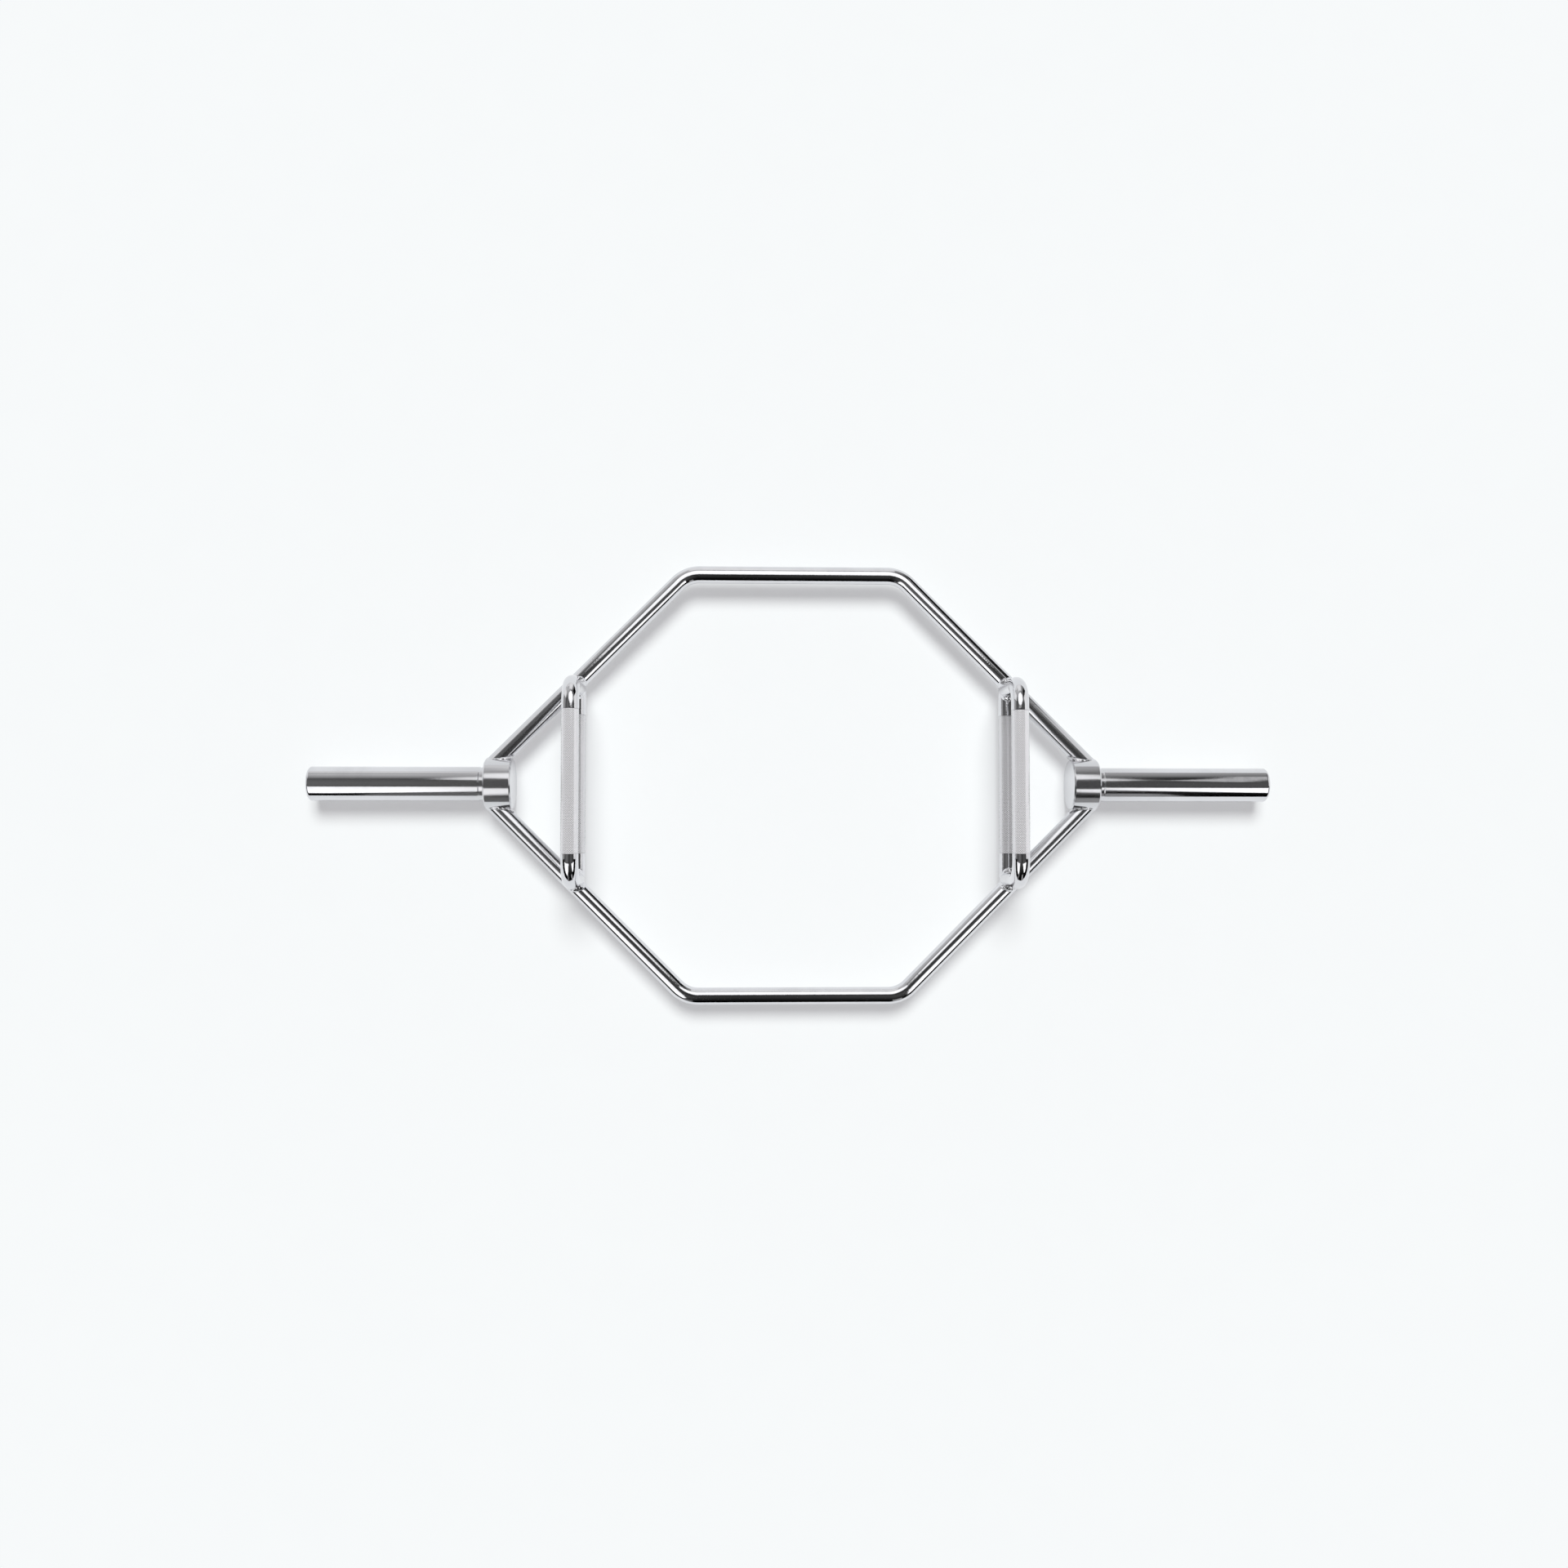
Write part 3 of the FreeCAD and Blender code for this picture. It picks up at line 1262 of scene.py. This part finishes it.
@dataclass
class WeldBeads:
    """The fillet welds round the rods at the hubs, and round the handles' ends and feet."""

    layout: BarLayout
    finish: bpy.types.Material
    hub_leg: float = 4.4 * MM
    low_leg: float = 3.6 * MM
    raised_leg: float = 5.4 * MM
    crown: float = 0.9 * MM
    ripple_pitch: float = 4.2 * MM
    ripple_height: float = 0.5 * MM
    lump_size: float = 6.0 * MM
    lump_height: float = 0.9 * MM
    lump_shift: Vector = field(default_factory=lambda: Vector((7.0, 3.0, 1.0)))
    thin_share: float = 0.12
    spatter_size: float = 1.7 * MM
    spatter_height: float = 0.28 * MM
    toe_depth: float = 0.35 * MM
    stations: int = 144
    across: int = 10

    def joints(self) -> list[Joint]:
        """List every welded joint of the bar.

        Each bar's place is a point well clear of what it lands on, because the bead is found by travelling
        from there along the bar.

        Returns:
            The joints, side by side and end by end.
        """
        layout = self.layout
        joints: list[Joint] = []
        for side in Side:
            low = layout.low_handle_bar(side)
            for end in End:
                where = f"{side.word}_{end.word}"
                diagonal = layout.diagonal_bar(side, end)
                x, y = side.value * layout.handle_x, end.value * layout.leg_y
                joints += [
                    Joint(
                        f"hub_weld_{where}",
                        layout.diagonal_at_y(side, end.value * 3 * layout.hub_radius),
                        layout.outward_along_diagonal(side, end),
                        self.hub_leg,
                        (layout.hub_bar(side),),
                    ),
                    Joint(
                        f"low_handle_weld_{where}",
                        Vector((x, y / 2, layout.axis_height)),
                        HANDLE_AXIS * end.value,
                        self.low_leg,
                        (diagonal,),
                    ),
                    Joint(
                        f"raised_handle_weld_{where}",
                        Vector((x, y, layout.grip_height)),
                        -UPRIGHT,
                        self.raised_leg,
                        (low, diagonal),
                    ),
                ]
        return joints

    def section(self, joint: Joint, outward: Vector, around: float) -> list[Vector]:
        """Lay out the bead's face at one place round the bar.

        The bead thins where the two surfaces run into each other and is heaviest in a tight corner.

        Args:
            joint: The welded joint.
            outward: The direction from the bar's axis to that place.
            around: The length of bead laid so far, for its ripples.

        Returns:
            Points from the toe on the carrier to the toe on the bar.
        """
        edge = joint.place + outward * self.layout.rod_radius
        carrier = first_bar(edge, joint.heading, joint.carriers)
        corner = edge + joint.heading * carrier.distance_to(edge, joint.heading)
        normal = carrier.outward(corner)
        away = outward + joint.heading
        away = (away - normal * away.dot(normal)).normalized()
        tightness = 1.0 - outward.dot(normal)
        lump = self.lump_height * noise.noise(corner / self.lump_size)
        fullness = self.thin_share + (1.0 - self.thin_share) * tightness
        leg = joint.leg * fullness + lump * min(fullness, 1.0)
        carrier_toe = carrier.settle(corner + away * leg, self.toe_depth)
        bar_toe = corner - joint.heading * leg - outward * self.toe_depth
        rise = (normal + outward).normalized()
        ripple = self.ripple_height * abs(math.sin(math.pi * around / self.ripple_pitch))
        points: list[Vector] = []
        for step in range(self.across + 1):
            share = step / self.across
            point = carrier_toe.lerp(bar_toe, share)
            lump = self.lump_height * noise.noise(point / self.lump_size + self.lump_shift)
            lump += self.spatter_height * noise.noise(point / self.spatter_size)
            points.append(point + rise * math.sin(math.pi * share) * (self.crown + ripple + lump) * fullness)
        return points

    def build(self, joint: Joint) -> bpy.types.Object:
        """Build one weld bead.

        Args:
            joint: The joint that it closes.

        Returns:
            The finished bead.
        """
        mesh = PlatedMesh()
        normal = joint.heading.orthogonal().normalized()
        directions = circle(Vector(), joint.heading, normal, 1.0, self.stations)
        girth = math.tau * (self.layout.rod_radius + joint.leg / 2)
        ripples = round(girth / self.ripple_pitch)
        columns = [
            self.section(joint, outward, ripples * self.ripple_pitch * number / self.stations)
            for number, outward in enumerate(directions)
        ]
        rings = [
            mesh.ring([column[row] for column in columns], joint.leg * row / self.across)
            for row in range(self.across + 1)
        ]
        mesh.skin(rings)
        return mesh.piece(f"{joint.node}_bead", (self.finish,), Slot.WELD, joint.node)


def hang_glow(name: str, shape: bmesh.types.BMesh, glow: bpy.types.Material) -> None:
    """Hang a glowing sheet in the studio, which only the plating's reflections see.

    Args:
        name: The sheet's name.
        shape: Its mesh, which is used up.
        glow: Its material.
    """
    glow.cycles.emission_sampling = "NONE"
    sheet = stand_mesh(name, shape, (glow,))
    sheet.visible_camera = False
    sheet.visible_diffuse = False
    sheet.visible_shadow = False


class WallEdge(NamedTuple):
    """One upright edge of a studio wall."""

    x: float
    y: float
    top: float
    foot: float = 0.0


@dataclass(frozen=True)
class Panel:
    """A softbox or a pale wall of the studio, whose white the plating mirrors."""

    name: str
    corners: tuple[tuple[float, float, float], ...]
    brightness: float
    rim_share: float
    colour: str = "#FFFFFF"

    @classmethod
    def overhead(
        cls,
        name: str,
        outline: Sequence[tuple[float, float]],
        height: float,
        brightness: float,
        rim_share: float,
    ) -> "Panel":
        """Give a panel that hangs level.

        Args:
            name: The panel's name.
            outline: Its corners, seen from above.
            height: The height that it hangs at.
            brightness: Its strength in the middle, where one is white.
            rim_share: The share of that which is left at its furthest corner.

        Returns:
            The panel.
        """
        return cls(name, tuple((x, y, height) for x, y in outline), brightness, rim_share)

    @classmethod
    def upright(
        cls, name: str, start: WallEdge, end: WallEdge, brightness: float, rim_share: float
    ) -> "Panel":
        """Give a wall between two upright edges.

        Args:
            name: The wall's name.
            start: Its first edge.
            end: Its second edge.
            brightness: Its strength in the middle, where one is white.
            rim_share: The share of that which is left at its furthest corner.

        Returns:
            The wall.
        """
        corners = (
            (start.x, start.y, start.foot),
            (end.x, end.y, end.foot),
            (end.x, end.y, end.top),
            (start.x, start.y, start.top),
        )
        return cls(name, corners, brightness, rim_share)

    def material(self) -> bpy.types.Material:
        """Build the lit cloth, which falls off from the middle of the panel to its rim.

        Returns:
            The finished material.
        """
        middle = sum((Vector(corner) for corner in self.corners), Vector()) / len(self.corners)
        reach = max((Vector(corner) - middle).length for corner in self.corners)
        cloth = bare_material(self.name)
        tree = cloth.node_tree
        place = add_node(tree, "ShaderNodeTexCoord")
        away = add_node(tree, "ShaderNodeVectorMath", {
            0: place.outputs["Object"],
            1: middle,
        }, operation="DISTANCE")
        fall = add_node(tree, "ShaderNodeMapRange", {
            "Value": away.outputs["Value"],
            "From Max": reach,
            "To Min": self.brightness,
            "To Max": self.brightness * self.rim_share,
        })
        glow = add_node(tree, "ShaderNodeEmission", {
            "Color": linear(self.colour),
            "Strength": fall.outputs["Result"],
        })
        add_node(tree, "ShaderNodeOutputMaterial", {"Surface": glow.outputs["Emission"]})
        return cloth

    def build(self) -> None:
        """Hang the panel in the studio."""
        shape = bmesh.new()
        shape.faces.new([shape.verts.new(corner) for corner in self.corners])
        hang_glow(self.name, shape, self.material())


@dataclass(frozen=True)
class DarkTent:
    """The dark cloth all round the studio, dim overhead, paler towards the left rear and black in front."""

    radius: float = 12.0
    colour: str = "#FFFFFF"
    overhead_grey: float = 0.035
    overhead_falloff: float = 3.0
    left_grey: float = 0.42
    right_grey: float = 0.22
    glow_towards: tuple[float, float, float] = (-0.30, 0.954, 0.0)
    glow_edge: float = 0.54
    glow_slope: float = 1.6
    segments: int = 64

    def material(self) -> bpy.types.Material:
        """Build the cloth as the grey that each direction sends back.

        Returns:
            The finished material.
        """
        cloth = bare_material("dark_tent_cloth")
        tree = cloth.node_tree
        place = add_node(tree, "ShaderNodeTexCoord")
        bearing = add_node(tree, "ShaderNodeVectorMath", {0: place.outputs["Object"]}, operation="NORMALIZE")
        share = add_node(tree, "ShaderNodeSeparateXYZ", {"Vector": bearing.outputs["Vector"]})
        left = add_node(tree, "ShaderNodeMath", {
            0: share.outputs["X"],
            1: -self.left_grey,
        }, operation="MULTIPLY")
        right = add_node(tree, "ShaderNodeMath", {
            0: share.outputs["X"],
            1: self.right_grey,
        }, operation="MULTIPLY")
        sideways = add_node(tree, "ShaderNodeMath", {
            0: left.outputs["Value"],
            1: right.outputs["Value"],
        }, operation="MAXIMUM")
        dim = add_node(tree, "ShaderNodeMath", {
            0: sideways.outputs["Value"],
            1: self.overhead_grey,
        }, operation="ADD")
        high = add_node(tree, "ShaderNodeMath", {
            0: share.outputs["Z"],
            1: self.overhead_falloff,
        }, operation="POWER")
        overhead = add_node(tree, "ShaderNodeMath", {
            0: dim.outputs["Value"],
            1: high.outputs["Value"],
        }, operation="MULTIPLY")
        rearward = add_node(tree, "ShaderNodeVectorMath", {
            0: bearing.outputs["Vector"],
            1: self.glow_towards,
        }, operation="DOT_PRODUCT")
        past = add_node(tree, "ShaderNodeMath", {
            0: rearward.outputs["Value"],
            1: self.glow_edge,
        }, operation="SUBTRACT", use_clamp=True)
        grey = add_node(tree, "ShaderNodeMath", {
            0: past.outputs["Value"],
            1: self.glow_slope,
            2: overhead.outputs["Value"],
        }, operation="MULTIPLY_ADD")
        glow = add_node(tree, "ShaderNodeEmission", {
            "Color": linear(self.colour),
            "Strength": grey.outputs["Value"],
        })
        add_node(tree, "ShaderNodeOutputMaterial", {"Surface": glow.outputs["Emission"]})
        return cloth

    def build(self) -> None:
        """Stretch the tent over the studio."""
        shape = bmesh.new()
        bmesh.ops.create_uvsphere(
            shape, u_segments=self.segments, v_segments=self.segments, radius=self.radius
        )
        hang_glow("dark_tent", shape, self.material())


@dataclass
class Studio:
    """A plain white floor under soft light, with dark surroundings that give the chrome its lines."""

    axis_height: float
    backdrop: str = "#F8FAFB"
    light: str = "#FFFFFF"
    floor_half: float = 14.0
    key_slant: float = math.radians(28.5)
    key_spread: float = math.radians(26)
    key_share: float = 0.78
    ceiling: float = 1.64
    softbox: float = 1.6
    octabox_middle: tuple[float, float] = (0.075, 1.2)
    octabox_radius: float = 1.0
    octabox_sides: int = 8
    wall: float = 1.0
    pale_wall: float = 0.84
    grey_wall: float = 0.55
    dim_wall: float = 0.36
    dark_wall: float = 0.16
    camera_place: tuple[float, float, float] = (-0.10004, -0.08799, 2.17236)
    camera_aim: tuple[float, float] = (-0.0138, 0.0005)
    lens_mm: float = 33.90
    sensor_mm: float = 36.0

    def lay_floor(self) -> None:
        """Lay the paper floor."""
        half = self.floor_half
        shape = bmesh.new()
        corners = ((-half, -half), (half, -half), (half, half), (-half, half))
        shape.faces.new([shape.verts.new((x, y, 0.0)) for x, y in corners])
        floor = stand_mesh("studio_floor", shape, (BackdropPaper().material(),))

    def hang_panels(self) -> None:
        """Hang the lights overhead, stand the walls round the bar and stretch the dark tent over all."""
        top = self.ceiling
        x, y = self.octabox_middle
        turns = [math.tau * (side + 0.5) / self.octabox_sides for side in range(self.octabox_sides)]
        octagon = [
            (x + self.octabox_radius * math.cos(turn), y + self.octabox_radius * math.sin(turn))
            for turn in turns
        ]
        front_left = ((-0.40, -0.66), (-2.90, -0.66), (-2.90, -3.00), (-1.90, -4.40), (-0.80, -2.00))
        front_right = ((0.57, -0.66), (2.70, -0.66), (2.70, -2.70), (1.95, -2.70))
        strip = ((1.08, 0.80), (1.25, 0.48), (1.40, 1.05), (1.88, 2.60), (1.70, 2.60), (1.27, 1.22))
        lights = (
            ("octabox_rear", octagon, top, self.softbox, 0.75),
            ("softbox_front_left", front_left, top, self.softbox, 0.7),
            ("softbox_front_right", front_right, top, self.softbox, 0.8),
            ("strip_light_right", strip, top, self.grey_wall, 0.9),
        )
        edge = WallEdge
        walls = (
            ("wall_rear", edge(-0.95, 3.20, 1.85), edge(1.00, 3.20, 1.85), self.wall, 0.8),
            ("wall_rear_left", edge(-2.40, 3.20, 0.75), edge(-0.95, 3.20, 0.95), self.pale_wall, 0.9),
            (
                "wall_rear_left_top",
                edge(-2.40, 3.20, 1.30, 0.75),
                edge(-0.95, 3.20, 1.75, 0.95),
                self.grey_wall,
                0.85,
            ),
            ("wall_right", edge(2.40, -0.20, 1.60), edge(2.40, 1.80, 2.40), self.wall, 0.85),
            ("wall_left_rear", edge(-2.40, 1.10, 1.60), edge(-2.40, 2.40, 1.90), self.wall, 0.8),
            ("wall_left", edge(-2.40, -0.20, 1.40), edge(-2.40, 1.10, 1.60), self.dim_wall, 0.8),
            ("wall_front_right", edge(0.75, -3.00, 1.50), edge(1.50, -3.00, 1.50), self.dim_wall, 0.8),
            ("wall_front_left", edge(-1.35, -3.00, 1.50), edge(-0.60, -3.00, 1.50), self.dark_wall, 0.8),
        )
        for light in lights:
            Panel.overhead(*light).build()
        for wall in walls:
            Panel.upright(*wall).build()
        DarkTent().build()

    def hang_key(self) -> None:
        """Hang the soft key light, which comes from high behind and throws the shadows forward."""
        light = bpy.data.lights.new("key_light", "SUN")
        light.energy = self.key_share * math.pi / math.cos(self.key_slant)
        light.angle = self.key_spread
        key = bpy.data.objects.new("key_light", light)
        key.rotation_euler = (-self.key_slant, 0.0, 0.0)
        key.visible_glossy = False
        bpy.context.scene.collection.objects.link(key)

    def paint_world(self) -> None:
        """Fill the shadows evenly from all round, and show the backdrop's own white behind the bar."""
        world = bpy.data.worlds.new("studio_fill")
        bpy.context.scene.world = world
        world.use_nodes = True
        tree = world.node_tree
        tree.nodes.clear()
        fill = add_node(tree, "ShaderNodeBackground", {
            "Color": linear(self.light),
            "Strength": 1.0 - self.key_share,
        })
        backdrop = add_node(tree, "ShaderNodeBackground", {"Color": linear(self.backdrop)})
        room = add_node(tree, "ShaderNodeMixShader", {
            0: viewed_rays(tree),
            1: fill.outputs["Background"],
            2: backdrop.outputs["Background"],
        })
        add_node(tree, "ShaderNodeOutputWorld", {"Surface": room.outputs["Shader"]})

    def stand_camera(self) -> None:
        """Stand the camera over the bar, almost straight above its middle."""
        lens = bpy.data.cameras.new("photo_camera")
        lens.lens = self.lens_mm
        lens.sensor_width = self.sensor_mm
        camera = bpy.data.objects.new("photo_camera", lens)
        x, y, above = self.camera_place
        camera.location = (x, y, above + self.axis_height)
        aim = Vector((*self.camera_aim, self.axis_height))
        back = (camera.location - aim).normalized()
        right = HANDLE_AXIS.cross(back).normalized()
        camera.rotation_euler = Matrix((right, back.cross(right), back)).transposed().to_euler()
        bpy.context.scene.collection.objects.link(camera)
        bpy.context.scene.camera = camera

    def build(self) -> None:
        """Set up floor, lights, surroundings and camera."""
        self.lay_floor()
        self.hang_panels()
        self.hang_key()
        self.paint_world()
        self.stand_camera()
        bpy.context.scene.view_settings.view_transform = "Standard"


def report(piece: bpy.types.Object) -> None:
    """Log one finished piece with its face count."""
    LOG.info("%s: %d faces", piece.name, len(piece.data.polygons))


def main() -> None:
    """Build the bar piece by piece, then the studio round it."""
    logging.basicConfig(level=logging.INFO, format="%(name)s %(message)s")
    layout = BarLayout.from_frame()
    buffed = BuffedChrome("chrome_plate_buffed").material()
    turned = TurnedChrome("chrome_plate_turned").material()
    knurled = KnurledChrome("chrome_plate_knurled").material()
    welded = PlatedWeld("chrome_plate_weld").material()
    rods = FrameRods(layout, buffed)
    for end in End:
        report(rods.build(end))
    ends = TurnedEnds(layout, turned)
    handles = Handles(layout, buffed, knurled)
    for side in Side:
        report(ends.build_sleeve(side))
        report(ends.build_hub(side))
        report(handles.build_low(side))
        report(handles.build_raised(side))
    beads = WeldBeads(layout, welded)
    for joint in beads.joints():
        report(beads.build(joint))
    Studio(layout.axis_height).build()


if __name__ == "__main__":
    main()
